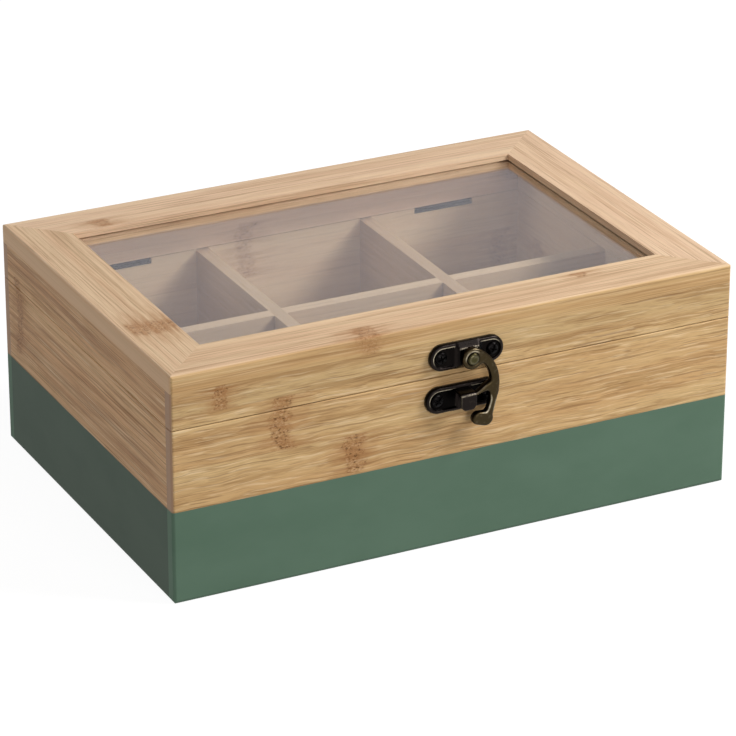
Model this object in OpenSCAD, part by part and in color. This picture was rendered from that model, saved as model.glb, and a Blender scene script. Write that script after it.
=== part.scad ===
// Tea bag organizer box. A box of bamboo boards has six compartments and a
// painted foot band. Its lid holds a window in a mitred frame, turns on two butt
// hinges and is kept shut by a swing hook.
//
// The origin is the middle of the underside. X runs to the right, Y to the back
// and Z up, in millimetres. The lid is drawn shut and the hook drawn home.

/* [Box] */
// Width over the side boards
box_w = 220; // [190:1:250]
// Depth over the front and back boards
box_d = 151.5; // [130:0.5:180]
// Height of the body, up to the seam
body_h = 65.7; // [60:0.1:90]
// Thickness of the wall boards
board_t = 10; // [9:0.5:12]
// Height of the painted band
paint_h = 35.2; // [15:0.1:50]
// Thickness of the bottom panel
bottom_t = 5; // [4:0.5:6]
// Width of the rebate that the bottom panel sits in
bottom_rebate = 5; // [4:0.5:6]
// Thickness of the front and back boards where they lap the side boards' ends
lap_t = 4.5; // [3:0.5:5]

/* [Dividers] */
// Thickness of the dividers
divider_t = 5; // [3:0.5:6]
// How far the dividers stop below the seam
divider_drop = 0.3; // [0.2:0.1:4]
// Depth of the grooves that hold the dividers' ends
housing_depth = 2; // [1:0.5:3]

/* [Lid] */
// Gap between body and lid at the seam
seam_gap = 0.25; // [0.2:0.05:0.4]
// Height of the lid's wall boards
lid_wall_h = 13.75; // [12:0.25:25]
// Width of the window frame's rails
rail_w = 20; // [14:1:30]
// Thickness of the window frame's rails
rail_t = 6.7; // [6:0.1:8]
// Thickness of the wood under the pane
sill_t = 2.7; // [2:0.1:3]
// Thickness of the pane
pane_t = 1.2; // [1:0.1:2]
// Depth of the pane's groove into the rails
groove_depth = 4; // [3:0.5:6]

/* [Edges] */
// Rounding of the upright corners and of the lid's top edges
corner_r = 1.1; // [0.6:0.1:2]
// Rounding of the edges on both sides of the seam
seam_r = 0.35; // [0.2:0.05:0.8]
// Rounding of the bottom edges
foot_r = 1.6; // [0.6:0.1:3]

/* [Hinges] */
// Length of a hinge
hinge_l = 25; // [20:1:40]
// Distance from the box's side to a hinge
hinge_inset = 30; // [20:1:45]
// Width of a leaf, from the pin's axis to its free edge
leaf_w = 11.4; // [10:0.1:11.5]
// Thickness of a leaf
leaf_t = 0.9; // [0.7:0.1:1]
// Gap between the two folded leaves
leaf_gap = 0.85; // [0.6:0.05:1.2]
// Outer radius of the knuckles
knuckle_r = 1.75; // [1.6:0.05:2]
// Radius of the hinge pin
pin_r = 0.8; // [0.6:0.05:0.9]
// Number of knuckles, the odd ones on the body's leaf
knuckles = 5; // [3:2:7]

/* [Latch] */
// Length of a latch plate
plate_l = 29; // [27:0.5:32]
// Height of a latch plate
plate_h = 10; // [9:0.5:11]
// Thickness of a latch plate at its rim
plate_t = 2; // [1.6:0.1:2.2]
// Distance of the hook's pivot from the box's middle, to the right
pivot_x = 2.5; // [-40:0.1:40]
// Height of the hook's pivot above the seam
pivot_rise = 7.2; // [6.5:0.1:8]
// Height of the pivot pad in front of the board
pad_t = 3.5; // [2.8:0.1:3.7]
// Thickness of the hook
hook_t = 2.6; // [2:0.1:2.8]
// Radius of the hook's eye
eye_r = 4.1; // [3.8:0.1:4.8]
// Radius of the rivet's shank
rivet_r = 1.7; // [1.2:0.1:2]
// Width of the catch's head, which the hook slips behind
catch_w = 6.1; // [5:0.1:7]

/* [Hidden] */
$fn = 64;

// Colours
bamboo = [0.82, 0.66, 0.46];
sage_paint = [0.33, 0.45, 0.38];
clear_pane = [0.85, 0.9, 0.92, 0.35];
antique_brass = [0.30, 0.25, 0.16];
dark_steel = [0.36, 0.35, 0.34];

// A little more than the size of what is cut
over = 1;

// Inside of the box, and the compartments
inner_w = box_w - 2 * board_t;
inner_d = box_d - 2 * board_t;
bay_w = (inner_w - 2 * divider_t) / 3;
divider_x = (bay_w + divider_t) / 2;
divider_top = body_h - divider_drop;
lap_z = (bottom_t + divider_top) / 2;

// Heights in the lid
lid_z = body_h + seam_gap;
rail_z = lid_z + lid_wall_h;
top_z = rail_z + rail_t;
groove_z = rail_z + sill_t;
groove_play = 0.4;
groove_h = pane_t + groove_play;
pane_play = 0.5;

// Hinges: both folded leaves lie in a mortise in the body's back wall
hinge_x = box_w / 2 - hinge_inset - hinge_l / 2;
mortise_h = 2 * leaf_t + leaf_gap - seam_gap;
hinge_z = body_h - mortise_h + leaf_t + leaf_gap / 2;
hinge_clear = 0.15;
hinge_y = box_d / 2 + knuckle_r + hinge_clear;
knuckle_l = hinge_l / knuckles;
knuckle_play = 0.1;
pin_play = 0.05;
pin_head_r = 1.25;
pin_head_l = 0.45;
leaf_screw_inset = 4.5;
leaf_screw_x = hinge_l / 2 - leaf_screw_inset;
leaf_screw_y = box_d / 2 - board_t / 2;
leaf_screw_l = 8;
leaf_screw_r = 1.1;
leaf_screw_head_r = 2;
leaf_screw_cross = [2.4, 0.5, 0.5];
screw_point_l = 2.5;
screw_point_r = 0.15;

// Latch: heights are measured out from the front of the box
pivot_z = body_h + pivot_rise;
plate_shift = [-0.3, 0.45];
plate_x = pivot_x + plate_shift[0];
plate_z = pivot_z + plate_shift[1];
plate_screw_inset = 4.4;
plate_screw_x = plate_l / 2 - plate_screw_inset;
plate_screw_l = 8;
plate_screw_r = 1.1;
plate_screw_head_r = 2.4;
plate_screw_rim = 0.6;
plate_screw_crown = 0.5;
plate_screw_chamfer = 0.7;
plate_screw_cross = [3, 0.5, 0.7];
pocket_z = 1.2;
pocket_rim = 0.5;
rim_r = 1.1;
pad_w = 10;
pad_h = plate_h - 0.8;
pad_bevel = 1.5;
catch_land_w = 4.4;
hook_gap = 0.05;
hook_z = pad_t + hook_gap;
hook_front = hook_z + hook_t;
hook_bevel = 0.48;
hook_fillet = 1.3;
rivet_play = 0.05;
rivet_head_r = 2.35;
rivet_head_h = 0.95;
rivet_head_rim = 0.35;
rivet_face_r = 1.5;
eye_dish_r = 3.3;
eye_dish_depth = 0.4;
eye_dish_slope = 0.3;

// The catch plate lies under the pivot plate, where the hook's beak comes to
catch_from_pivot = [-1.7, -15.55];
catch_x = pivot_x + catch_from_pivot[0];
catch_z = pivot_z + catch_from_pivot[1];
catch_shift = -0.5;
catch_shelf_y = 2.35;
catch_shelf_t = 0.95;
catch_head_drop = 3.05;
catch_gap = 0.25;
catch_head_z = hook_front + catch_gap;
catch_head_t = 1.05;
catch_bend_r = 0.9;
catch_corner_r = 1.6;
catch_top_r = 0.4;
catch_root = 0.4;

// Outline of the hook, from its pivot: the arm is an arc, and the beak, wrist
// and thumb run between discs, each given as [x, y, radius]
arm_centre = [-5.5, -10.7];
arm_r_in = 12.9;
arm_r_out = 16.2;
arm_from = -15;
arm_to = 62;
wrist_top = [8.5, -14.4, 1.65];
wrist_mid = [8.3, -17.2, 1.3];
wrist_end = [7.15, -21.2, 1.45];
thumb_root = [5.6, -24, 2.75];
thumb_tip = [2.5, -23.4, 2.45];
beak_root = [6.6, -11.6, 1.55];
beak_bend = [3.4, -13, 0.85];
beak_mid = [1, -14, 0.55];
beak_tip = [-1.2, -14.5, 0.5];

// ---------------------------------------------------------------- shared shapes

// A rectangle from y0 to y1, with its lower corners rounded by r0 and its upper
// corners by r1
module eased_rect(w, y0, y1, r0, r1) {
    translate([-w / 2 + r0, y0]) square([w - 2 * r0, r0]);
    translate([-w / 2, y0 + r0]) square([w, y1 - y0 - r0 - r1]);
    translate([-w / 2 + r1, y1 - r1]) square([w - 2 * r1, r1]);
    for (side = [-1, 1]) {
        translate([side * (w / 2 - r0), y0 + r0]) circle(r0);
        translate([side * (w / 2 - r1), y1 - r1]) circle(r1);
    }
}

// A block as large as the box in plan, with all its outer edges rounded
module eased_block(z0, z1, r0, r1) {
    intersection() {
        translate([0, 0, z0]) linear_extrude(z1 - z0)
            eased_rect(box_w, -box_d / 2, box_d / 2, corner_r, corner_r);
        rotate([90, 0, 0]) linear_extrude(box_d, center = true)
            eased_rect(box_w, z0, z1, r0, r1);
        rotate([90, 0, 90]) linear_extrude(box_w, center = true)
            eased_rect(box_d, z0, z1, r0, r1);
    }
}

// A block centred in plan, between two heights
module centred_block(w, d, z0, z1) {
    translate([-w / 2, -d / 2, z0]) cube([w, d, z1 - z0]);
}

// Turns a front board's shape round to the back, or a left one's to the right
module to_other_side() {
    rotate(180) children();
}

// Plan of the front board: its ends are rebated to lap the side boards
module front_plan() {
    polygon([
        [-box_w / 2, -box_d / 2],
        [box_w / 2, -box_d / 2],
        [box_w / 2, -box_d / 2 + lap_t],
        [inner_w / 2, -box_d / 2 + lap_t],
        [inner_w / 2, -inner_d / 2],
        [-inner_w / 2, -inner_d / 2],
        [-inner_w / 2, -box_d / 2 + lap_t],
        [-box_w / 2, -box_d / 2 + lap_t]
    ]);
}

// Plan of the left board, which runs between the laps
module left_plan() {
    translate([-box_w / 2, -box_d / 2 + lap_t]) square([board_t, box_d - 2 * lap_t]);
}

// Paints what lies below the paint line, on a board of the body
module painted_foot() {
    union() {
        color(sage_paint) intersection() {
            children();
            centred_block(2 * box_w, 2 * box_d, -over, paint_h);
        }
        color(bamboo) intersection() {
            children();
            centred_block(2 * box_w, 2 * box_d, paint_h, 2 * body_h);
        }
    }
}

// ------------------------------------------------------------------------ body

module body_board() {
    difference() {
        intersection() {
            eased_block(0, body_h, foot_r, seam_r);
            linear_extrude(body_h) children();
        }
        centred_block(inner_w + 2 * bottom_rebate, inner_d + 2 * bottom_rebate, -over, bottom_t);
        divider_shapes();
    }
}

// The dividers' outer sizes, which their grooves in the walls follow
module cross_divider_shape(side) {
    translate([side * divider_x - divider_t / 2, -inner_d / 2 - housing_depth, bottom_t])
        cube([divider_t, inner_d + 2 * housing_depth, divider_top - bottom_t]);
}

module long_divider_shape() {
    translate([-inner_w / 2 - housing_depth, -divider_t / 2, bottom_t])
        cube([inner_w + 2 * housing_depth, divider_t, divider_top - bottom_t]);
}

// The grooves run out at the seam, so that the dividers drop in from above
module divider_shapes() {
    for (lift = [0, divider_drop + over]) translate([0, 0, lift]) {
        long_divider_shape();
        for (side = [-1, 1]) cross_divider_shape(side);
    }
}

module front_wall() {
    painted_foot() difference() {
        body_board() front_plan();
        in_front(catch_x, catch_z) plate_screws();
    }
}

module back_wall() {
    painted_foot() difference() {
        body_board() to_other_side() front_plan();
        for (side = [-1, 1]) {
            translate([side * hinge_x - hinge_l / 2, inner_d / 2 - over, body_h - mortise_h])
                cube([hinge_l, board_t + 2 * over, mortise_h + over]);
            box_leaf_screws(side);
        }
    }
}

module left_wall() {
    painted_foot() body_board() left_plan();
}

module right_wall() {
    painted_foot() body_board() to_other_side() left_plan();
}

// The bottom panel is let in flush with the undersides of the walls
module bottom_panel() {
    color(bamboo)
        centred_block(inner_w + 2 * bottom_rebate, inner_d + 2 * bottom_rebate, 0, bottom_t);
}

// The long divider is notched from above, and the cross dividers from below
module long_divider() {
    color(bamboo) difference() {
        long_divider_shape();
        for (side = [-1, 1])
            translate([side * divider_x - divider_t / 2, -divider_t, lap_z])
                cube([divider_t, 2 * divider_t, body_h]);
    }
}

module cross_divider(side) {
    color(bamboo) difference() {
        cross_divider_shape(side);
        translate([side * divider_x - divider_t, -divider_t / 2, -over])
            cube([2 * divider_t, divider_t, lap_z + over]);
    }
}

module left_divider() {
    cross_divider(-1);
}

module right_divider() {
    cross_divider(1);
}

// ------------------------------------------------------------------------- lid

module lid_board() {
    color(bamboo) intersection() {
        eased_block(lid_z, top_z, seam_r, corner_r);
        translate([0, 0, lid_z]) linear_extrude(lid_wall_h) children();
    }
}

module lid_front_wall() {
    color(bamboo) difference() {
        lid_board() front_plan();
        in_front(plate_x, plate_z) plate_screws();
    }
}

module lid_back_wall() {
    color(bamboo) difference() {
        lid_board() to_other_side() front_plan();
        for (side = [-1, 1]) lid_leaf_screws(side);
    }
}

module lid_left_wall() {
    lid_board() left_plan();
}

module lid_right_wall() {
    lid_board() to_other_side() left_plan();
}

// A rail of the window frame along one side of the lid, mitred at both ends and
// grooved for the pane. The rail lies at the front of a rectangle of size w by d.
module rail_plan(w, d) {
    polygon([
        [-w / 2, -d / 2],
        [w / 2, -d / 2],
        [w / 2 - rail_w, -d / 2 + rail_w],
        [-w / 2 + rail_w, -d / 2 + rail_w]
    ]);
}

module window_rail() {
    color(bamboo) difference() {
        intersection() {
            eased_block(lid_z, top_z, seam_r, corner_r);
            translate([0, 0, rail_z]) linear_extrude(rail_t) children();
        }
        centred_block(
            box_w - 2 * rail_w + 2 * groove_depth,
            box_d - 2 * rail_w + 2 * groove_depth,
            groove_z, groove_z + groove_h
        );
    }
}

module window_front_rail() {
    window_rail() rail_plan(box_w, box_d);
}

module window_back_rail() {
    window_rail() to_other_side() rail_plan(box_w, box_d);
}

module window_left_rail() {
    window_rail() rotate(-90) rail_plan(box_d, box_w);
}

module window_right_rail() {
    window_rail() rotate(90) rail_plan(box_d, box_w);
}

module window_pane() {
    edge = groove_depth - pane_play;
    color(clear_pane) centred_block(
        box_w - 2 * rail_w + 2 * edge, box_d - 2 * rail_w + 2 * edge,
        groove_z, groove_z + pane_t
    );
}

// ---------------------------------------------------------------------- hinges

// Runs along the pin of the hinge on one side, with its middle at the hinge's
module along_pin(side, length, r) {
    translate([side * hinge_x, hinge_y, hinge_z])
        rotate([0, 90, 0]) cylinder(r = r, h = length, center = true);
}

// The stretch of one knuckle, counted from the left end
module knuckle(side, i, length, r) {
    translate([(i - (knuckles - 1) / 2) * knuckle_l, 0, 0]) along_pin(side, length, r);
}

// A leaf with its knuckles. The body's leaf has the odd knuckles and lies under
// the pin, and the lid's leaf has the even ones and lies over it.
module hinge_leaf(side, first, up, bore_r) {
    difference() {
        union() {
            difference() {
                translate([
                    side * hinge_x - hinge_l / 2, hinge_y - leaf_w,
                    hinge_z + (up ? leaf_gap / 2 : -leaf_gap / 2 - leaf_t)
                ])
                    cube([hinge_l, leaf_w, leaf_t]);
                for (i = [1 - first : 2 : knuckles - 1])
                    knuckle(side, i, knuckle_l + knuckle_play, knuckle_r + hinge_clear);
            }
            for (i = [first : 2 : knuckles - 1])
                knuckle(side, i, knuckle_l - knuckle_play, knuckle_r);
        }
        along_pin(side, hinge_l + 2 * over, bore_r);
    }
}

// A countersunk wood screw pointing down, with its head's top at height 0
module countersunk_screw(cross) {
    difference() {
        union() {
            translate([0, 0, -leaf_t])
                cylinder(r1 = leaf_screw_r, r2 = leaf_screw_head_r, h = leaf_t);
            screw_shank(leaf_screw_r, leaf_screw_l, -leaf_t);
        }
        if (cross) cross_recess(leaf_screw_cross, 0);
    }
}

// A shank that ends in a point, from height z down
module screw_shank(r, length, z) {
    translate([0, 0, -length + screw_point_l])
        cylinder(r = r, h = length - screw_point_l + z);
    translate([0, 0, -length]) cylinder(r1 = screw_point_r, r2 = r, h = screw_point_l);
}

// A cross recess of [length, width, depth] in a screw head whose top is at height z
module cross_recess(size, z) {
    for (turn = [0, 90]) rotate(turn)
        translate([-size[0] / 2, -size[1] / 2, z - size[2]])
            cube([size[0], size[1], size[2] + over]);
}

module leaf_screw_places(side) {
    for (end = [-1, 1])
        translate([side * hinge_x + end * leaf_screw_x, leaf_screw_y, 0]) children();
}

module box_leaf_screws(side, cross = false) {
    leaf_screw_places(side) translate([0, 0, hinge_z - leaf_gap / 2])
        countersunk_screw(cross);
}

module lid_leaf_screws(side, cross = false) {
    leaf_screw_places(side) translate([0, 0, hinge_z + leaf_gap / 2])
        rotate([180, 0, 0]) countersunk_screw(cross);
}

module hinge_box_leaf(side) {
    color(dark_steel) difference() {
        hinge_leaf(side, 0, false, pin_r);
        box_leaf_screws(side);
    }
}

module hinge_lid_leaf(side) {
    color(dark_steel) difference() {
        hinge_leaf(side, 1, true, pin_r + pin_play);
        lid_leaf_screws(side);
    }
}

// The pin is tight in the body's knuckles and headed over at both ends
module hinge_pin(side) {
    color(dark_steel) {
        along_pin(side, hinge_l, pin_r);
        for (end = [-1, 1])
            translate([end * (hinge_l + pin_head_l - knuckle_play) / 2, 0, 0])
                along_pin(side, pin_head_l, pin_head_r);
    }
}

module left_hinge_box_leaf() {
    hinge_box_leaf(-1);
}

module right_hinge_box_leaf() {
    hinge_box_leaf(1);
}

module left_hinge_lid_leaf() {
    hinge_lid_leaf(-1);
}

module right_hinge_lid_leaf() {
    hinge_lid_leaf(1);
}

module left_hinge_pin() {
    hinge_pin(-1);
}

module right_hinge_pin() {
    hinge_pin(1);
}

module hinge_box_screws() {
    color(dark_steel) for (side = [-1, 1]) box_leaf_screws(side, true);
}

module hinge_lid_screws() {
    color(dark_steel) for (side = [-1, 1]) lid_leaf_screws(side, true);
}

// ----------------------------------------------------------------------- latch

// Stands a latch part, drawn flat with Z outwards, on the front of the box
module in_front(x, z) {
    translate([x, -box_d / 2, z]) rotate([90, 0, 0]) children();
}

// A pill-shaped plate with a rounded edge and a sunk pocket at either end, on
// each side of a land in the middle
module pill_plate(land_w) {
    end_x = (plate_l - plate_h) / 2;
    pocket_r = plate_h / 2 - rim_r - pocket_rim;
    difference() {
        union() {
            for (end = [-1, 1]) translate([end * end_x, 0, 0])
                rotate_extrude() intersection() {
                    rounded_section(plate_h, plate_t, rim_r);
                    square(plate_h);
                }
            rotate([90, 0, 90]) linear_extrude(2 * end_x, center = true)
                rounded_section(plate_h, plate_t, rim_r);
        }
        for (end = [-1, 1]) {
            translate([end * end_x, 0, pocket_z]) cylinder(r = pocket_r, h = over);
            translate([end * (end_x + land_w / 2) / 2, 0, pocket_z + over / 2])
                cube([end_x - land_w / 2, 2 * pocket_r, over], center = true);
        }
    }
}

// A section w wide and h high, with its two upper corners rounded
module rounded_section(w, h, r) {
    intersection() {
        translate([-w / 2, 0]) square([w, h]);
        union() {
            translate([-w / 2, 0]) square([w, h - r]);
            translate([-w / 2 + r, 0]) square([w - 2 * r, h]);
            for (side = [-1, 1]) translate([side * (w / 2 - r), h - r]) circle(r);
        }
    }
}

// A section w wide and h high, with its two upper corners bevelled
module bevelled_section(w, h, bevel) {
    polygon([
        [-w / 2, 0], [w / 2, 0], [w / 2, h - bevel],
        [w / 2 - bevel, h], [-w / 2 + bevel, h], [-w / 2, h - bevel]
    ]);
}

// A block with all four upper edges bevelled
module bevelled_pad(w, d, h, bevel) {
    intersection() {
        rotate([90, 0, 90]) linear_extrude(w, center = true) bevelled_section(d, h, bevel);
        rotate([90, 0, 0]) linear_extrude(d, center = true) bevelled_section(w, h, bevel);
    }
}

// The two screws of a plate, whose heads sit on the floors of its pockets
module plate_screws(cross = false) {
    crown_r = plate_screw_head_r - plate_screw_chamfer;
    for (end = [-1, 1]) translate([end * plate_screw_x, 0, pocket_z]) difference() {
        union() {
            cylinder(r = plate_screw_head_r, h = plate_screw_rim);
            translate([0, 0, plate_screw_rim])
                cylinder(r1 = plate_screw_head_r, r2 = crown_r, h = plate_screw_crown);
            screw_shank(plate_screw_r, plate_screw_l, 0);
        }
        if (cross) cross_recess(plate_screw_cross, plate_screw_rim + plate_screw_crown);
    }
}

// The pivot plate has a raised pad that the hook's eye turns on
module pivot_plate() {
    color(antique_brass) in_front(plate_x, plate_z) difference() {
        union() {
            pill_plate(pad_w);
            bevelled_pad(pad_w, pad_h, pad_t, pad_bevel);
        }
        plate_screws();
        translate([pivot_x - plate_x, pivot_z - plate_z, -over])
            cylinder(r = rivet_r, h = pad_t + 2 * over);
    }
}

// The catch: a tongue that stands out of the plate above the beak and is bent
// down in front of it
module catch_section() {
    out = catch_head_z + catch_head_t;
    low = -catch_head_drop;
    root = pocket_z - catch_root;
    translate([root, catch_shelf_y])
        square([out - catch_bend_r - root, catch_shelf_t]);
    translate([catch_head_z, low])
        square([catch_head_t, catch_shelf_y + catch_shelf_t - catch_bend_r - low]);
    translate([out - catch_bend_r, catch_shelf_y + catch_shelf_t - catch_bend_r])
        circle(catch_bend_r);
    translate([catch_head_z, catch_shelf_y])
        square([catch_head_t - catch_bend_r, catch_shelf_t - catch_bend_r]);
}

module catch_tongue() {
    reach = catch_shelf_y + catch_shelf_t;
    intersection() {
        rotate([0, -90, 0]) linear_extrude(catch_w, center = true) catch_section();
        linear_extrude(3 * plate_h)
            eased_rect(catch_w, -catch_head_drop, reach, catch_corner_r, catch_top_r);
    }
}

module catch_plate() {
    color(antique_brass) in_front(catch_x, catch_z) difference() {
        union() {
            pill_plate(catch_land_w);
            translate([catch_shift, 0, 0]) catch_tongue();
        }
        plate_screws();
    }
}

module pivot_plate_screws() {
    color(dark_steel) in_front(plate_x, plate_z) plate_screws(true);
}

module catch_plate_screws() {
    color(dark_steel) in_front(catch_x, catch_z) plate_screws(true);
}

// The rivet is set in the pivot plate and headed over in the dish of the hook's eye
module latch_rivet() {
    head_z = hook_front - eye_dish_depth + hook_gap;
    chamfer_z = head_z + rivet_head_rim;
    color(antique_brass) in_front(pivot_x, pivot_z) {
        cylinder(r = rivet_r, h = chamfer_z);
        translate([0, 0, head_z]) cylinder(r = rivet_head_r, h = rivet_head_rim);
        translate([0, 0, chamfer_z])
            cylinder(r1 = rivet_head_r, r2 = rivet_face_r, h = rivet_head_h - rivet_head_rim);
    }
}

// One limb of the hook's outline, between two of its discs
module limb(from, to) {
    hull() {
        translate([from[0], from[1]]) circle(from[2]);
        translate([to[0], to[1]]) circle(to[2]);
    }
}

// The curved arm: a stretch of a ring
module arm() {
    far = 2 * arm_r_out;
    translate(arm_centre) intersection() {
        difference() {
            circle(arm_r_out, $fn = 72);
            circle(arm_r_in, $fn = 72);
        }
        polygon([
            [0, 0],
            [far * cos(arm_from), far * sin(arm_from)],
            [far * cos(arm_to), far * sin(arm_to)]
        ]);
    }
}

// The hook's outline, with its inner corners filled out as on a casting
module hook_outline() {
    offset(r = -hook_fillet) offset(r = hook_fillet) {
        circle(eye_r, $fn = 36);
        arm();
        limb(wrist_top, wrist_mid);
        limb(wrist_mid, wrist_end);
        limb(thumb_root, thumb_tip);
        limb(beak_root, beak_bend);
        limb(beak_bend, beak_mid);
        limb(beak_mid, beak_tip);
    }
}

// The casting: the outline drawn in by the bevel, and grown again by a cone that
// leaves its front edges bevelled
module hook_blank() {
    minkowski() {
        linear_extrude(hook_t - hook_bevel) offset(delta = -hook_bevel)
            hook_outline($fn = 24);
        cylinder(r1 = hook_bevel, r2 = 0, h = hook_bevel, $fn = 12);
    }
}

module latch_hook() {
    color(antique_brass) in_front(pivot_x, pivot_z) translate([0, 0, hook_z]) difference() {
        hook_blank();
        translate([0, 0, -over]) cylinder(r = rivet_r + rivet_play, h = hook_t + 2 * over);
        translate([0, 0, hook_t - eye_dish_depth])
            cylinder(r1 = eye_dish_r - eye_dish_slope, r2 = eye_dish_r, h = eye_dish_depth);
        translate([0, 0, hook_t]) cylinder(r = eye_dish_r, h = over);
    }
}

// ------------------------------------------------------------------------ parts

front_wall();
back_wall();
left_wall();
right_wall();
bottom_panel();
long_divider();
left_divider();
right_divider();
left_hinge_box_leaf();
right_hinge_box_leaf();
left_hinge_pin();
right_hinge_pin();
hinge_box_screws();
catch_plate();
catch_plate_screws();
lid_front_wall();
lid_back_wall();
lid_left_wall();
lid_right_wall();
window_front_rail();
window_back_rail();
window_left_rail();
window_right_rail();
window_pane();
left_hinge_lid_leaf();
right_hinge_lid_leaf();
hinge_lid_screws();
pivot_plate();
pivot_plate_screws();
latch_rivet();
latch_hook();
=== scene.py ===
import math
import bmesh
import bpy
import numpy as np
from mathutils import Matrix, Vector
from mathutils.geometry import delaunay_2d_cdt


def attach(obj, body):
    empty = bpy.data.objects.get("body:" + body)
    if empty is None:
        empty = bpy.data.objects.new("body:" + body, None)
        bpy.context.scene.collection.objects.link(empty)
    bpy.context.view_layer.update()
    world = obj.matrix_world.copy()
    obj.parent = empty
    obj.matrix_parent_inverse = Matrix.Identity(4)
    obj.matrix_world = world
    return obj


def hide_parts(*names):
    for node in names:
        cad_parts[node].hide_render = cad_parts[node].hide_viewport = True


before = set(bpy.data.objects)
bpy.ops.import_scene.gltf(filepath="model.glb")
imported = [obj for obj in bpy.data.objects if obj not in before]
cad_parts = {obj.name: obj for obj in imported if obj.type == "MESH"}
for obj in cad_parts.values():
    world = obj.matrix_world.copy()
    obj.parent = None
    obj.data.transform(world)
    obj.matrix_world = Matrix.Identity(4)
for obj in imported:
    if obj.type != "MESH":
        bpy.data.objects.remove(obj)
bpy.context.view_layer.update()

MM = 0.001

# Sizes of the box that its finish follows, in millimetres as in the part's source
BOX_D, HALF_W = 151.5, 110
PAINT_LINE = 35.2
PAINT_INSIDE_W, PAINT_INSIDE_D = 100.5, 66.3  # half sizes; nearer the middle the walls stay bare
STRIP_H, STRIP_FROM = 20, 10.5  # the boards are glued up from strips of this height
JOINT_LINE = 0.12

# Latch, in millimetres: heights are measured out from the front of the box
PIVOT = (2.5, 72.9)
PLATE_EDGE, PLATE_TOP, POCKET_FLOOR = 1.1, 2.0, 1.2
POCKET_RIM, POCKET_SLOPE, CREST_AT = 1.28, 0.34, 1.2
PIVOT_LAND, CATCH_LAND = 4.4, 2.2
PLATE_SPACING, PLATE_INSETS = 0.24, (0.1, 0.3, 0.6, 0.95, 1.12, 1.28, 1.4, 1.5, 1.62, 1.8)
RING_SPACING = 0.3
PAD_TOP, PAD_HALF_W, PAD_HALF_H, PAD_SLOPE = 3.5, 3.8, 3.05, 1.05
HOOK_BACK, HOOK_FRONT = 3.55, 6.15
HOOK_EDGE, HOOK_CROWN, HOOK_CROWN_W = 0.75, 0.32, 2.0
EYE_DISH, EYE_DISH_R = 0.42, 2.9
GRIP_GLINT_AT, GRIP_GLINT_R = (9.0, 54.2), 4.6  # where a painted highlight lies along the lower arm's inner edge
BEAK_GLINT_AT = (6.2, 59.8)  # where a painted highlight lies on the beak's upper edge
HOOK_SPACING, HOOK_INSETS = 0.32, (0.07, 0.16, 0.26, 0.4, 0.56, 0.76)  # of the points on its faces
BACK_EDGE = 0.25
TONGUE_W, TONGUE_T, TONGUE_EDGE, TONGUE_CORNER = 6.1, 1.0, 0.42, 2.2
TONGUE_SHIFT, TONGUE_SHELF, TONGUE_OUT, TONGUE_BEND, TONGUE_DROP = -0.5, 2.82, 6.92, 0.95, 3.05
SCREW_SIZES = {
    "Spread": 10.1, "Head Radius": 2.4, "Head Height": 1.1, "Cross Length": 3.0, "Cross Width": 0.5,
    "Cross Depth": 0.75, "Shank Radius": 1.1, "Shank Length": 5.5, "Point Length": 2.5,
}
POINT_R, HEAD_SEGMENTS, HEAD_RINGS, SHANK_SIDES = 0.1, 40, 24, 24
# Sections of the tongue: heights along its shelf, and distances from its end along its front
TONGUE_ROOT = (POCKET_FLOOR - 0.4, 2.6, 4.2)
TONGUE_TO_END = (4.6, 3.8, 3.0, 2.3, 1.6, 1.2, 0.85, 0.55, 0.34, 0.2, 0.1, 0.03, 0)

# How rubbed the latch is, with its painted highlights laid in as rubbing: 0 in a hollow, 0.5 on a face and
# 1 where it is bright
RUBBED = "rubbed"  # name of the mesh attribute that says so
GLINT_SIDE = (-0.45, 0.9)  # the side of an edge, up and to the left, on which painted highlights lie, in x and z
# Shares of the hook's brightness: face and edge are wear; grip, beak, eye and ridge are painted highlights
HOOK_WEAR_AND_GLINTS = {"face": 0.48, "edge": 0.10, "grip": 0.42, "beak": 0.36, "eye": 0.22, "ridge": 0.42}
# Shares of a plate's brightness: face, crest and pad are wear; the upper crest and the pad's edge are
# painted highlights
PLATE_WEAR_AND_GLINTS = {"face": 0.38, "crest": 0.02, "upper_crest_glint": 0.58, "pad": 0.1, "pad_edge_glint": 0.7}
# Shares of the tongue's brightness: hidden faces are dark, and so is the shelf's top, as painted shade; its
# front is wear; its bend and left edge carry painted highlights
TONGUE_WEAR_SHADE_AND_GLINTS = {"hidden_and_shaded": 0.08, "front": 0.45, "bend": 0.42, "edge": 0.12}

# Camera, as it stood for the photograph
CAMERA_PLACE = Vector((-0.59596, -1.19667, 0.64029))
CAMERA_AIM = Vector((-0.00902, -0.02264, 0.04803))
CAMERA_ROLL = math.radians(0.08)
CAMERA_LENS, SENSOR = 195.3, 36

# Light
WORLD_LEVEL, WORLD_GLOSS = 0.16, 0.58
GLOSS_TINT = (0.98, 0.955, 1.0, 1)
FLOOR_GLOW, FLOOR_SHADE, FLOOR_WHITE = 0.92, 0.17, 0.40
LAMPS = {  # place, size and power of each soft box
    "key": ((0.80, -0.50, 0.90), 0.5, 15.0),
    "left_fill": ((-0.90, 0.15, 0.60), 0.4, 2.1),
    "front_fill": ((0.10, -1.60, 0.50), 0.8, 7.8),
    "back_fill": ((-0.20, 1.60, 0.30), 0.8, 5.5),
}
LAMP_AIM = Vector((0, 0, 0.04))
FLOOR_REACH = 4.0

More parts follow.
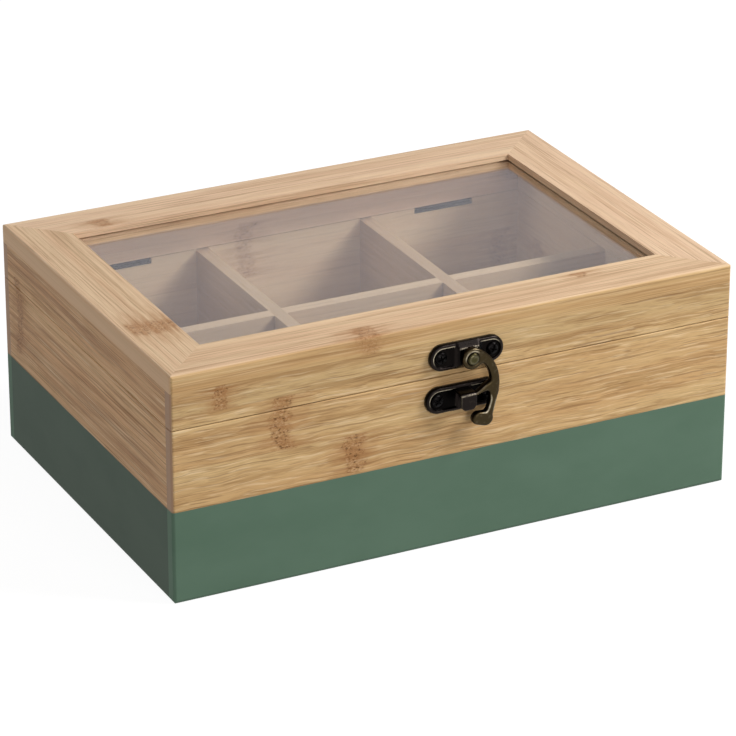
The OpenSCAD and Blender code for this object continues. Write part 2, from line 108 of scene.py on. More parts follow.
# Colours, linear. Bamboo is given as its pale ground, its rosier ground and its darker streaks
BAMBOO_FRONT = ((0.655, 0.445, 0.212, 1), (0.60, 0.368, 0.165, 1), (0.41, 0.235, 0.092, 1))
BAMBOO_SHADED = ((0.70, 0.435, 0.22, 1), (0.63, 0.355, 0.17, 1), (0.39, 0.195, 0.08, 1))
BAMBOO_SIDE = ((0.68, 0.45, 0.25, 1), (0.60, 0.36, 0.19, 1), (0.38, 0.205, 0.095, 1))
# Lit copies, lighter and rosier, as painted light on the rails' tops; the pale one is brighter still, for
# the back and right rails and the inside of the lid's back wall
BAMBOO_RAIL_LIT = ((0.77, 0.555, 0.352, 1), (0.725, 0.49, 0.305, 1), (0.47, 0.285, 0.15, 1))
BAMBOO_PALE_LIT = ((0.82, 0.60, 0.40, 1), (0.78, 0.54, 0.36, 1), (0.60, 0.38, 0.225, 1))
BAMBOO_PLAIN = ((0.74, 0.49, 0.285, 1), (0.70, 0.45, 0.255, 1), (0.56, 0.34, 0.18, 1))
# Inner copies of the bamboo, as painted light and shade inside the box: a dimmed one for most inner faces,
# a lit one for the back wall, the right wall and the long divider, and a deep one for the bottom and the
# inner faces of the front and left walls
BAMBOO_INNER_SHADE = ((0.58, 0.415, 0.255, 1), (0.54, 0.37, 0.225, 1), (0.44, 0.285, 0.155, 1))
BAMBOO_INNER_LIT = ((0.79, 0.60, 0.385, 1), (0.75, 0.545, 0.345, 1), (0.59, 0.40, 0.23, 1))
BAMBOO_INNER_DEEP_SHADE = ((0.45, 0.31, 0.19, 1), (0.41, 0.27, 0.16, 1), (0.33, 0.20, 0.11, 1))
BAMBOO_GLINT = (0.86, 0.66, 0.41, 1)
BAMBOO_BROWN = (0.20, 0.095, 0.036, 1)
NODE_BROWN = (0.105, 0.045, 0.015, 1)
NODE_TAN = (0.36, 0.16, 0.055, 1)
END_GRAIN = (0.43, 0.265, 0.165, 1)
SAGE = ((0.108, 0.180, 0.125, 1), (0.096, 0.164, 0.112, 1))
SAGE_SHADED = ((0.066, 0.099, 0.070, 1), (0.056, 0.087, 0.060, 1))
# Metals are given as they are in the hollows, on their faces and where they are rubbed, which on the latch
# also stands for its painted highlights
WORN_AND_GLINT_BRASS = (0.62, 0.54, 0.39, 1)
PLATE_BRASS = ((0.003, 0.0026, 0.0024, 1), (0.018, 0.014, 0.0125, 1), WORN_AND_GLINT_BRASS)
HOOK_BRASS = ((0.006, 0.0036, 0.0018, 1), (0.044, 0.032, 0.0155, 1), WORN_AND_GLINT_BRASS)
RIVET_BRASS = ((0.014, 0.010, 0.0045, 1), (0.053, 0.047, 0.0195, 1), WORN_AND_GLINT_BRASS)
SCREW_STEEL = ((0.002, 0.002, 0.002, 1), (0.0045, 0.004, 0.004, 1), (0.08, 0.075, 0.07, 1))
HINGE_STEEL = ((0.016, 0.016, 0.017, 1), (0.036, 0.036, 0.038, 1), (0.42, 0.42, 0.43, 1))

# Layers of the bamboo's pattern: cells of noise per metre along, across and through the board, the
# noise's detail and roughness, and the levels between which the layer comes in
LAYERS = {
    "ground": ((9, 105, 105), 2, 0.5, 0.36, 0.64),
    "streaks": ((24, 290, 290), 4, 0.68, 0.44, 0.64),
    "glints": ((55, 1300, 1300), 2, 0.55, 0.53, 0.68),
    "lines": ((30, 1250, 1250), 2, 0.5, 0.56, 0.68),
    "fibres": ((110, 2400, 2400), 2, 0.6, 0.46, 0.72),
    "stain": ((60, 700, 700), 2, 0.5, 0.36, 0.62),
    "pit_clusters": ((330, 500, 500), 1, 0.5, 0.38, 0.6),
}
SPECKS = ((1000, 1500, 1500), 2, 0.6)  # noise that both the pits and the light flecks are cut from
STRENGTH = {  # how much of its colour each part of the pattern adds
    "streaks": 0.66, "glints": 0.46, "fibres": 0.30, "lines": 0.50, "Stain": 0.55, "Pitted": 0.5,
    "flecks": 0.22, "glue_line": 0.22,
}
# From here on sizes are in millimetres and cells of noise per metre, where nothing else is said
SUNK = {"dark": 0.6, "pits": 0.8, "glue_line": 0.4}  # share of the relief's depth that each is cut in
GRAIN_DEPTH = 0.05
BROAD_SWAY, FINE_SWAY, NODE_SWAY = 1.4, 1.9, 2.0  # how far the grain wanders, and how much more at a node
BROAD_SWAY_CELLS, FINE_SWAY_CELLS = (22, 60, 60), (75, 150, 150)
STRIPS_APART = (3.1, 0.7, 0.4)  # in metres: up to this far apart, two strips read the same noise
STRIP_DARKEST, STRIP_SPREAD = 0.93, 0.14
MARK_BOW = 14.0  # per metre
MARK_RAGGED, MARK_EDGE = 10, 0.9
MARK_CELLS = (260, 420, 420)
INNER_CALM, INNER_MARKS_CALM = 0.72, 0.6
SIDE_BLEND, END_BLEND = (0.6, 0.1), (0.7, 0.3)  # how far from an edge its own colour comes in
PAINT_EDGE_BROWN, PAINT_ROUGH, PAINT_SKIN, PAINT_GRAIN = 0.30, 0.62, 1.2, 0.12
PAINT_WAVER, PAINT_WAVER_CELLS, PAINT_CLOUD_CELLS = 0.25, (90, 90, 300), (30, 30, 60)
METAL_CLOUD_CELLS, METAL_GRAIN_CELLS, METAL_DEPTH = (650, 650, 650), (4200, 4200, 4200), 0.012
DUST_CELLS, PANE_CLEAR = (180, 180, 180), 0.93

# ------------------------------ node helpers


def add_node(tree, kind, inputs=None, **settings):
    """Adds a node, sets it up, and gives its inputs values or links."""
    made = tree.nodes.new(kind)
    for name, value in settings.items():
        setattr(made, name, value)
    for name, value in (inputs or {}).items():
        give(made.inputs[name], value)
    return made


def give(socket, value):
    """Links a socket to another one, or sets its own value."""
    if isinstance(value, bpy.types.NodeSocket):
        socket.id_data.links.new(value, socket)
    else:
        socket.default_value = value


def tree_of(values):
    """The tree that the first socket among the values belongs to."""
    return next(value.id_data for value in values if isinstance(value, bpy.types.NodeSocket))


def maths(operation, *values, clamp=False):
    """One step of arithmetic on values or sockets."""
    inputs, tree = dict(enumerate(values)), tree_of(values)
    return add_node(tree, "ShaderNodeMath", inputs, operation=operation, use_clamp=clamp).outputs[0]


def chained(operation, values):
    """Carries one operation from each value on to the next."""
    result, *others = values
    for value in others:
        result = maths(operation, result, value)
    return result


def product(*values):
    return chained("MULTIPLY", values)


def any_ray(tree, *kinds):
    """1 for a ray of any of the kinds."""
    rays = add_node(tree, "ShaderNodeLightPath").outputs
    return chained("MAXIMUM", [rays[f"Is {kind} Ray"] for kind in kinds])


def vector_maths(operation, *values):
    inputs, tree = dict(enumerate(values)), tree_of(values)
    return add_node(tree, "ShaderNodeVectorMath", inputs, operation=operation).outputs[0]


def ramp(value, low, high, to_low=0.0, to_high=1.0):
    """A smooth step from to_low to to_high as value goes from low to high."""
    inputs = {"Value": value, "From Min": low, "From Max": high, "To Min": to_low, "To Max": to_high}
    return add_node(value.id_data, "ShaderNodeMapRange", inputs, interpolation_type="SMOOTHSTEP").outputs[0]


def mix(kind, share, a, b, how="MIX"):
    """Mixes two values of a kind, Color or Float."""
    data_type = {"Color": "RGBA", "Float": "FLOAT"}[kind]
    made = add_node(tree_of((share, a, b)), "ShaderNodeMix", data_type=data_type, blend_type=how)
    for name, value in (("Factor_Float", share), ("A_" + kind, a), ("B_" + kind, b)):
        give(next(s for s in made.inputs if s.identifier == name), value)
    return next(s for s in made.outputs if s.identifier == "Result_" + kind)


def blend(share, colour, other, how="MIX"):
    return mix("Color", share, colour, other, how)


def noise(place, per_metre, detail=2.0, roughness=0.5):
    """Noise with its own scale along each axis, given in cells per metre."""
    scaled = vector_maths("MULTIPLY", place, per_metre)
    inputs = {"Vector": scaled, "Scale": 1.0, "Detail": detail, "Roughness": roughness}
    return add_node(place.id_data, "ShaderNodeTexNoise", inputs).outputs


def split(vector):
    return add_node(vector.id_data, "ShaderNodeSeparateXYZ", {0: vector}).outputs


def combined(*parts):
    return add_node(tree_of(parts), "ShaderNodeCombineXYZ", dict(enumerate(parts))).outputs[0]


def new_group(name, inputs, outputs):
    """A shader node group with the named sockets. Returns it with its inputs and its output node."""
    group = bpy.data.node_groups.new(name, "ShaderNodeTree")
    for sockets, in_out in ((inputs, "INPUT"), (outputs, "OUTPUT")):
        for socket_name, kind in sockets.items():
            group.interface.new_socket(socket_name, in_out=in_out, socket_type="NodeSocket" + kind)
    inside = group.nodes.new("NodeGroupInput").outputs
    return group, inside, group.nodes.new("NodeGroupOutput").inputs


def use_group(tree, group, inputs):
    made = tree.nodes.new("ShaderNodeGroup")
    made.node_tree = group
    for name, value in inputs.items():
        give(made.inputs[name], value)
    return made.outputs


# ------------------------------ effects as groups

FINISH = {"Color": "Color", "Roughness": "Float", "Relief": "Float"}  # what a finish puts out


def grain_layer(place, name, to_low=0.0):
    """A layer of the bamboo's pattern: to_low where it is out, and 1 where it is fully in."""
    cells, detail, roughness, low, high = LAYERS[name]
    return ramp(noise(place, cells, detail, roughness)[0], low, high, to_low)


def build_node_mark():
    """One bamboo node, where the culm had its ring: a ragged pitted band across a strip, with a
    brown stain that runs out of it along the grain."""
    inputs = {"Place": "Vector", "Along": "Float", "Low": "Float", "High": "Float", "Width": "Float"}
    group, given, out = new_group("Bamboo node mark", inputs, {"Pitted": "Float", "Stain": "Float"})
    along, across, _ = split(given["Place"])
    middle = product(maths("ADD", given["Low"], given["High"]), 0.5)
    off = maths("SUBTRACT", across, middle)
    bow = product(off, off, MARK_BOW)
    ragged = noise(given["Place"], MARK_CELLS, 3)[0]
    shift = maths("MULTIPLY_ADD", ragged, MARK_RAGGED * MM, -MARK_RAGGED / 2 * MM)
    from_ring = maths("SUBTRACT", maths("SUBTRACT", along, given["Along"]), bow)
    from_ring = maths("ABSOLUTE", maths("ADD", from_ring, shift))
    reach = maths("DIVIDE", from_ring, product(given["Width"], 0.5))
    above = ramp(maths("SUBTRACT", across, given["Low"]), -MARK_EDGE * MM, MARK_EDGE * MM)
    below = ramp(maths("SUBTRACT", given["High"], across), -MARK_EDGE * MM, MARK_EDGE * MM)
    in_strip = product(above, below)
    give(out["Pitted"], product(ramp(reach, 0.45, 1.25, 1.0, 0.0), in_strip))
    streaks = grain_layer(given["Place"], "stain", 0.15)
    give(out["Stain"], product(ramp(reach, 0.6, 4.0, 1.0, 0.0), in_strip, streaks))
    return group


def glued_strips(tree, given):
    """The strips that a board is glued up from: their glue lines, and a chance that each has its own."""
    across = split(given["Place"])[1]
    count = maths("DIVIDE", maths("SUBTRACT", across, given["Strip From"]), STRIP_H * MM)
    glue_line = ramp(maths("PINGPONG", count, 0.5), 0.0, JOINT_LINE / STRIP_H, 1.0, 0.0)
    strip = maths("ADD", maths("FLOOR", count), given["Seed"])
    chance = add_node(tree, "ShaderNodeTexWhiteNoise", {"W": strip}, noise_dimensions="1D").outputs
    return glue_line, chance


def grain_place(given, chance):
    """Where the grain is read: it wanders a little, more so at a node, and differs between strips."""
    place = given["Place"]
    broad_sway = maths("MULTIPLY_ADD", given["Stain"], NODE_SWAY * MM, BROAD_SWAY * MM)
    for cells, sway in ((BROAD_SWAY_CELLS, broad_sway), (FINE_SWAY_CELLS, FINE_SWAY * MM)):
        wander = noise(given["Place"], cells, 1)["Color"]
        wander = vector_maths("SUBTRACT", wander, (0.5, 0.5, 0.5))
        sway = product(sway, given["Waves"])
        sway = combined(0.0, sway, sway)
        place = vector_maths("ADD", place, vector_maths("MULTIPLY", wander, sway))
    apart = vector_maths("MULTIPLY", chance["Color"], STRIPS_APART)
    shorter = maths("MULTIPLY_ADD", given["Waves"], 0.6, 0.4)
    spread = combined(shorter, given["Fine"], given["Fine"])
    return vector_maths("MULTIPLY", vector_maths("ADD", place, apart), spread)


def grain_colour(given, place):
    """Colour of the bare grain, and how dark its lines and fibres are."""
    lively = product(maths("SUBTRACT", 1.0, given["Calm"]), given["Contrast"])
    tone = blend(grain_layer(place, "ground"), given["Pale"], given["Rosy"])
    streaks = product(grain_layer(place, "streaks"), lively, STRENGTH["streaks"])
    tone = blend(streaks, tone, given["Streak"])
    cells, detail, roughness, low, high = LAYERS["glints"]
    glints = split(noise(place, cells, detail, roughness)["Color"])[1]
    glints = product(ramp(glints, low, high), lively, STRENGTH["glints"])
    tone = blend(glints, tone, BAMBOO_GLINT)
    fibres = product(grain_layer(place, "fibres"), STRENGTH["fibres"])
    lines = product(grain_layer(place, "lines"), STRENGTH["lines"])
    dark = product(maths("MAXIMUM", fibres, lines), lively)
    return blend(dark, tone, BAMBOO_BROWN), dark


def marked_colour(given, tone):
    """The colour with its node marks, tan with light flecks and dark pits. Also returns the pits."""
    for share in ("Stain", "Pitted"):
        tone = blend(product(given[share], STRENGTH[share]), tone, NODE_TAN)
    specks = noise(given["Place"], *SPECKS)[0]
    clusters = grain_layer(given["Place"], "pit_clusters", 0.3)
    pits = product(ramp(specks, 0.5, 0.7), clusters, given["Pitted"])
    flecks = product(ramp(specks, 0.44, 0.34), given["Pitted"])
    tone = blend(product(flecks, STRENGTH["flecks"]), tone, BAMBOO_GLINT)
    return blend(product(pits, given["Pits"]), tone, NODE_BROWN), pits


def build_bamboo():
    """Glued-up bamboo. Place is in metres, with X along the grain and Y across the strips."""
    values = ("Seed", "Strip From", "Pitted", "Stain", "Calm", "Contrast", "Waves", "Fine", "Pits")
    colours = ("Pale", "Rosy", "Streak")
    inputs = {"Place": "Vector"} | dict.fromkeys(values, "Float") | dict.fromkeys(colours, "Color")
    group, given, out = new_group("Bamboo", inputs, FINISH)
    glue_line, chance = glued_strips(group, given)
    tone, dark = grain_colour(given, grain_place(given, chance))
    strip_tone = maths("MULTIPLY_ADD", chance["Value"], STRIP_SPREAD, STRIP_DARKEST)
    strip_tone = add_node(group, "ShaderNodeCombineColor", dict.fromkeys(range(3), strip_tone)).outputs[0]
    tone = blend(1.0, tone, strip_tone, "MULTIPLY")
    tone, pits = marked_colour(given, tone)
    glue = product(glue_line, STRENGTH["glue_line"])
    give(out["Color"], blend(glue, tone, BAMBOO_BROWN))
    relief = 1.0
    for share, sunk in ((dark, "dark"), (pits, "pits"), (glue_line, "glue_line")):
        relief = maths("MULTIPLY_ADD", share, -SUNK[sunk], relief)
    give(out["Relief"], relief)
    give(out["Roughness"], maths("MULTIPLY_ADD", dark, 0.35, 0.50))
    return group


def outside_share(place):
    """1 on the outside of the walls, and 0 on their insides."""
    reach = []
    for axis, inside in ((0, PAINT_INSIDE_W), (1, PAINT_INSIDE_D)):
        from_middle = maths("ABSOLUTE", split(place)[axis])
        reach.append(maths("GREATER_THAN", from_middle, inside * MM))
    return maths("MAXIMUM", *reach)


def build_painted_foot():
    """Mask of the paint, below its line and only on the outside of the walls, and of its edge."""
    inputs = {"Place": "Vector", "Line": "Float"}
    group, given, out = new_group("Painted foot", inputs, {"Mask": "Float", "Edge": "Float"})
    height = split(given["Place"])[2]
    waver = noise(given["Place"], PAINT_WAVER_CELLS, 2)[0]
    level = maths("MULTIPLY_ADD", waver, PAINT_WAVER * MM, height)
    over = maths("SUBTRACT", level, given["Line"])
    outside = outside_share(given["Place"])
    below = ramp(over, 0.05 * MM, 0.17 * MM, 1.0, 0.0)
    give(out["Mask"], product(below, outside))
    from_edge = maths("ABSOLUTE", maths("SUBTRACT", over, 0.3 * MM))
    at_edge = ramp(from_edge, 0.0, 0.4 * MM, 1.0, 0.0)
    give(out["Edge"], product(at_edge, outside))
    return group


def build_old_metal():
    """Old metal: dark in the hollows, browned on its faces, and bright where it is rubbed and where a
    painted highlight is laid in the same way.
    """
    inputs = {"Place": "Vector", "Rubbed": "Float", "Patchy": "Float"}
    inputs |= dict.fromkeys(("Dark", "Browned", "Bright"), "Color")
    group, given, out = new_group("Old metal", inputs, FINISH)
    clouds = noise(given["Place"], METAL_CLOUD_CELLS, 4, 0.6)[0]
    grain = noise(given["Place"], METAL_GRAIN_CELLS, 2)[0]
    browned = maths("MULTIPLY", given["Rubbed"], 2.0, clamp=True)
    bright = maths("MULTIPLY_ADD", given["Rubbed"], 2.0, -1.0, clamp=True)
    bright = product(bright, ramp(clouds, 0.3, 0.6, 0.4, 1.0))
    patches = product(ramp(clouds, 0.54, 0.72), given["Patchy"])
    bright = maths("ADD", bright, product(patches, browned), clamp=True)
    tone = blend(browned, given["Dark"], given["Browned"])
    give(out["Color"], blend(bright, tone, given["Bright"]))
    give(out["Roughness"], maths("MULTIPLY_ADD", grain, 0.16, 0.22))
    give(out["Relief"], grain)
    return group


NODE_MARK = build_node_mark()
BAMBOO = build_bamboo()
PAINTED_FOOT = build_painted_foot()
OLD_METAL = build_old_metal()

# ------------------------------ materials


def new_material(name, **values):
    """A material with one Principled BSDF, whose plain values are given by socket name."""
    material = bpy.data.materials.new(name)
    material.use_nodes = True
    tree = material.node_tree
    surface = tree.nodes["Principled BSDF"]
    for socket, value in values.items():
        surface.inputs[socket.replace("_", " ")].default_value = value
    return material, tree, surface


def grey(level):
    return (level, level, level, 1)


def new_object(name, data):
    made = bpy.data.objects.new(name, data)
    bpy.context.scene.collection.objects.link(made)
    return made


def object_place(tree):
    return add_node(tree, "ShaderNodeTexCoord").outputs["Object"]


def board_place(place, axes):
    """The place on a board, whose axes along, across and through are named in that order."""
    parts = dict(zip("XYZ", split(place)))
    return combined(*(parts[axis] for axis in axes))


def finish_surface(tree, surface, colour, rough, relief, depth):
    """Gives a surface its colour and roughness, and a relief of the given depth."""
    bump = add_node(tree, "ShaderNodeBump", {"Height": relief, "Distance": depth * MM})
    for name, value in (("Base Color", colour), ("Roughness", rough), ("Normal", bump.outputs[0])):
        give(surface.inputs[name], value)


def near_edge(position, edge_at, reach):
    """0 on a board, rising to 1 by its edges, which lie as far as edge_at from its middle."""
    begins, ends = reach
    from_middle = maths("ABSOLUTE", position)
    return ramp(from_middle, (edge_at - begins) * MM, (edge_at - ends) * MM)


GRAIN = {"Contrast": 1.0, "Waves": 1.0, "Fine": 1.0, "Pits": 1.0}


def node_marks(tree, board, marks):
    """Where a board is pitted and stained by its node marks."""
    marked = {"Pitted": 0.0, "Stain": 0.0}
    for mark in marks:
        sizes = {key: size * MM for key, size in zip(("Along", "Low", "High", "Width"), mark)}
        one = use_group(tree, NODE_MARK, {"Place": board} | sizes)
        marked = {key: maths("MAXIMUM", so_far, one[key]) for key, so_far in marked.items()}
    return marked


def mixed(share, colours, others):
    """Each of the colours mixed with its other one."""
    return [blend(share, *pair) for pair in zip(colours, others)]


def painted_over(tree, place, colour, rough, relief, sage):
    """Colour, roughness and relief with the painted foot laid over them."""
    paint = use_group(tree, PAINTED_FOOT, {"Place": place, "Line": PAINT_LINE * MM})
    clouds = ramp(noise(place, PAINT_CLOUD_CELLS, 3)[0], 0.3, 0.7)
    at_edge = product(paint["Edge"], PAINT_EDGE_BROWN)
    colour = blend(at_edge, colour, BAMBOO_BROWN)
    colour = blend(paint["Mask"], colour, blend(clouds, *sage))
    skin = maths("MULTIPLY_ADD", relief, PAINT_GRAIN, PAINT_SKIN)
    relief = mix("Float", paint["Mask"], relief, skin)
    return colour, mix("Float", paint["Mask"], rough, PAINT_ROUGH), relief


def bamboo_material(name, axes, seed, colours, marks, strip_from=STRIP_FROM, painted=False, **more):
    """Bamboo for one board, with its node marks, and with the painted foot on the outer walls. more
    may give it changes of GRAIN, inner colours for its inside, which are lighter or darker copies as
    painted light and shade inside the box, a side with its own calm and colours, where its end grain
    shows, and the sage of its paint."""
    material, tree, surface = new_material(name, Specular_IOR_Level=0.2)
    place = object_place(tree)
    board = board_place(place, axes)
    along, across, _ = split(board)
    marked = node_marks(tree, board, marks)
    calm = 0.0
    if "inner" in more:
        inside = maths("SUBTRACT", 1.0, outside_share(place))
        calm = product(inside, INNER_CALM)
        showing = maths("MULTIPLY_ADD", calm, -INNER_MARKS_CALM, 1.0)
        marked = {key: product(share, showing) for key, share in marked.items()}
        colours = mixed(inside, colours, more["inner"])
    if "side" in more:
        side_at, side_calm, side_colours = more["side"]
        at_side = near_edge(across, side_at, SIDE_BLEND)
        calm = product(at_side, side_calm)
        colours = mixed(at_side, colours, side_colours)
    values = {"Place": board, "Seed": seed, "Strip From": strip_from * MM, "Calm": calm}
    values |= dict(zip(("Pale", "Rosy", "Streak"), colours)) | marked
    values |= {key: more.get(key.lower(), usual) for key, usual in GRAIN.items()}
    bamboo = use_group(tree, BAMBOO, values)
    colour, rough, relief = bamboo["Color"], bamboo["Roughness"], bamboo["Relief"]
    if "ends_at" in more:
        colour = blend(near_edge(along, more["ends_at"], END_BLEND), colour, END_GRAIN)
    if painted:
        sage = more.get("sage", SAGE)
        colour, rough, relief = painted_over(tree, place, colour, rough, relief, sage)
    finish_surface(tree, surface, colour, rough, relief, GRAIN_DEPTH)
    return material


def old_metal_material(name, colours, patchy, by_mesh=True):
    """Old metal, in its dark, browned and bright colours. A mesh attribute may say where it is rubbed and
    where it carries painted highlights.
    """
    material, tree, surface = new_material(name, Metallic=1.0)
    values = {"Place": object_place(tree), "Patchy": patchy, "Rubbed": 0.5}
    values |= dict(zip(("Dark", "Browned", "Bright"), colours))
    if by_mesh:
        worn = add_node(tree, "ShaderNodeAttribute", attribute_name=RUBBED, attribute_type="GEOMETRY")
        values["Rubbed"] = worn.outputs["Fac"]
    metal = use_group(tree, OLD_METAL, values)
    finish_surface(tree, surface, metal["Color"], metal["Roughness"], metal["Relief"], METAL_DEPTH)
    return material


def mix_shaders(tree, share, first, second):
    """The material shows its first shader, and the second one where share is 1."""
    both = add_node(tree, "ShaderNodeMixShader", {0: share, 1: first.outputs[0], 2: second.outputs[0]})
    give(tree.nodes["Material Output"].inputs["Surface"], both.outputs[0])


def pane_material():
    """Clear sheet that lets lamps and soft light through to the compartments."""
    values = {"Base_Color": (0.95, 0.955, 0.96, 1), "Transmission_Weight": 1.0, "IOR": 1.46}
    material, tree, surface = new_material("clear_sheet", **values)
    dust = noise(object_place(tree), DUST_CELLS, 4)[0]
    give(surface.inputs["Roughness"], ramp(dust, 0.4, 0.8, 0.0, 0.03))
    clear = add_node(tree, "ShaderNodeBsdfTransparent", {"Color": grey(PANE_CLEAR)})
    mix_shaders(tree, any_ray(tree, "Shadow", "Diffuse"), surface, clear)
    return material


def finish_node(name, material):
    """Gives a CAD node its material."""
    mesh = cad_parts[name].data
    mesh.materials.clear()
    mesh.materials.append(material)


# ------------------------------ the stage


def facing(place, aim):
    """How a thing stands at a place when it looks at its aim."""
    turn = (aim - place).to_track_quat("-Z", "Y").to_matrix().to_4x4()
    return Matrix.Translation(place) @ turn


def build_camera():
    data = bpy.data.cameras.new("camera")
    data.lens = CAMERA_LENS
    data.sensor_width = SENSOR
    data.clip_start = 0.01
    camera = new_object("camera", data)
    camera.matrix_world = facing(CAMERA_PLACE, CAMERA_AIM) @ Matrix.Rotation(CAMERA_ROLL, 4, "Z")
    bpy.context.scene.camera = camera


def build_floor():
    """White floor that shows as white and keeps a soft shadow of the box."""
    mesh = bpy.data.meshes.new("floor")
    corners = [(-1, -1), (1, -1), (1, 1), (-1, 1)]
    mesh.from_pydata([(x * FLOOR_REACH, y * FLOOR_REACH, 0) for x, y in corners], [], [(0, 1, 2, 3)])
    material, tree, surface = new_material("floor_white", Roughness=0.9, Specular_IOR_Level=0.0)
    surface.inputs["Base Color"].default_value = grey(FLOOR_WHITE)
    glow = add_node(tree, "ShaderNodeEmission", {"Color": grey(1), "Strength": FLOOR_GLOW})
    shaded = add_node(tree, "ShaderNodeBsdfDiffuse", {"Color": grey(FLOOR_SHADE)})
    white = add_node(tree, "ShaderNodeAddShader", {0: glow.outputs[0], 1: shaded.outputs[0]})
    mix_shaders(tree, any_ray(tree, "Camera", "Glossy", "Transmission"), surface, white)
    mesh.materials.append(material)
    new_object("floor", mesh)


def build_world():
    """Plain soft light from all round, seen as white by the camera."""
    world = bpy.data.worlds.new("studio")
    bpy.context.scene.world = world
    world.use_nodes = True
    tree = world.node_tree
    background = tree.nodes["Background"].inputs
    straight, glossy = any_ray(tree, "Camera", "Transmission"), any_ray(tree, "Glossy")
    level = mix("Float", glossy, WORLD_LEVEL, WORLD_GLOSS)
    give(background["Strength"], mix("Float", straight, level, 1.0))
    give(background["Color"], blend(glossy, grey(1), GLOSS_TINT))


def build_lamp(name, place, size, power):
    """A square soft box that faces the box."""
    data = bpy.data.lights.new(name, "AREA")
    data.size = size
    data.energy = power
    new_object(name, data).matrix_world = facing(Vector(place), LAMP_AIM)


build_camera()
build_floor()
build_world()
for lamp_name, (place, size, power) in LAMPS.items():
    build_lamp(lamp_name, place, size, power)

# ------------------------------ the boards

# Node marks as along, low, high and width on their board
FRONT_MARKS = [(-91.5, 70.5, 79.7, 5.5), (-69, 50.5, 70.5, 8), (-41, 36, 50.5, 8)]
LEFT_MARKS = [(60, 40, 70, 6)]
RIGHT_MARKS = [(-32, 50.5, 70.5, 7), (48, 30.5, 50.5, 7)]
BACK_MARKS = [(-17, 50.5, 72.5, 8), (92, 30.5, 50.5, 8), (98, 70.5, 79.7, 7)]

LEFT_GRAIN = {"contrast": 1.25, "waves": 0.15, "fine": 1.6}
# Colours of the walls' inner faces: lit and shaded copies, as painted light and shade inside the box
INNER_LIGHT_AND_SHADE = {
    "back_wall": BAMBOO_INNER_LIT, "lid_back_wall": BAMBOO_PALE_LIT, "right_wall": BAMBOO_INNER_LIT,
    "lid_right_wall": BAMBOO_INNER_LIT, "left_wall": BAMBOO_INNER_DEEP_SHADE, "front_wall": BAMBOO_INNER_DEEP_SHADE,
}

# Axes of each wall, its seed, its colours, its marks and what else it needs
WALLS = {
    "front": ("XZY", 1.0, BAMBOO_FRONT, FRONT_MARKS, {"waves": 0.8, "ends_at": HALF_W}),
    "back": ("XZY", 7.0, BAMBOO_FRONT, BACK_MARKS, {"waves": 0.6, "ends_at": HALF_W}),
    "left": ("YZX", 13.0, BAMBOO_SHADED, LEFT_MARKS, LEFT_GRAIN | {"sage": SAGE_SHADED}),
    "right": ("YZX", 21.0, BAMBOO_SIDE, RIGHT_MARKS, {"waves": 0.4}),
}
for side, (axes, seed, colours, marks, more) in WALLS.items():
    for node, painted in ((side + "_wall", True), (f"lid_{side}_wall", False)):
        more = more | {"painted": painted, "inner": INNER_LIGHT_AND_SHADE.get(node, BAMBOO_INNER_SHADE)}
        finish_node(node, bamboo_material("bamboo_" + node, axes, seed, colours, marks, **more))

# The same of each rail of the window, with where its outer side is, and how calm and of what colours
FRONT_RAIL_MARKS = [(-35, -76, -67, 8), (57, -62, -58, 6)]
# The rails' own colours are those lit copies, as painted light on their tops
RAILS = {
    "front": ("XYZ", 31.0, BAMBOO_RAIL_LIT, FRONT_RAIL_MARKS, (BOX_D / 2, 0.2, BAMBOO_FRONT)),
    "back": ("XYZ", 37.0, BAMBOO_PALE_LIT, [(-77, 57, 64, 7)], (BOX_D / 2, 0.2, BAMBOO_PALE_LIT)),
    "left": ("YXZ", 43.0, BAMBOO_RAIL_LIT, [(-35, -107, -90, 11)], (HALF_W, 0.75, BAMBOO_PLAIN)),
    "right": ("YXZ", 53.0, BAMBOO_PALE_LIT, [], (HALF_W, 0.75, BAMBOO_PLAIN)),
}
RAIL_STRIP_FROM = -300
RAIL_GRAIN = {"contrast": 0.85, "waves": 0.15, "fine": 1.5, "pits": 0.6}
for side, (axes, seed, colours, marks, outer_side) in RAILS.items():
    node = f"window_{side}_rail"
    more = RAIL_GRAIN | {"strip_from": RAIL_STRIP_FROM, "side": outer_side}
    finish_node(node, bamboo_material("bamboo_" + node, axes, seed, colours, marks, **more))

# The inner boards take the lit, dimmed and deep inner copies, as painted light and shade
INNER = {
    "bottom_panel": ("XYZ", 61.0, BAMBOO_INNER_DEEP_SHADE, [(-40, -30, -10, 8)]),
    "long_divider": ("XZY", 67.0, BAMBOO_INNER_LIT, []),
    "left_divider": ("YZX", 71.0, BAMBOO_INNER_SHADE, []),
    "right_divider": ("YZX", 79.0, BAMBOO_INNER_SHADE, []),
}
INNER_GRAIN = {"contrast": 0.35, "waves": 0.3, "pits": 0.4}
for node, board in INNER.items():
    finish_node(node, bamboo_material("bamboo_" + node, *board, **INNER_GRAIN))

# ------------------------------ latch, in relief


def flat_outlines(node, stand_out):
    """Outlines of a CAD node's flat back, as closed rings of x and z in millimetres, longest first."""
    depth = -(BOX_D / 2 + stand_out) * MM
    copy = bmesh.new()
    copy.from_mesh(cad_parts[node].data)
    bmesh.ops.remove_doubles(copy, verts=copy.verts, dist=1e-6)
    flat = dict.fromkeys(f for f in copy.faces if all(abs(v.co.y - depth) < 1e-5 for v in f.verts))
    following = {}
    for face in flat:
        for loop in face.loops:
            if not any(other in flat for other in loop.edge.link_faces if other is not face):
                following[loop.vert] = loop.link_loop_next.vert
    rings = []
    while following:
        start, vert = following.popitem()
        ring = [start.co]
        while vert is not start:
            ring.append(vert.co)
            vert = following.pop(vert)
        rings.append(np.array([(co.x, co.z) for co in ring]) / MM)
    copy.free()
    return sorted(rings, key=lambda ring: -np.ptp(ring, 0).sum())


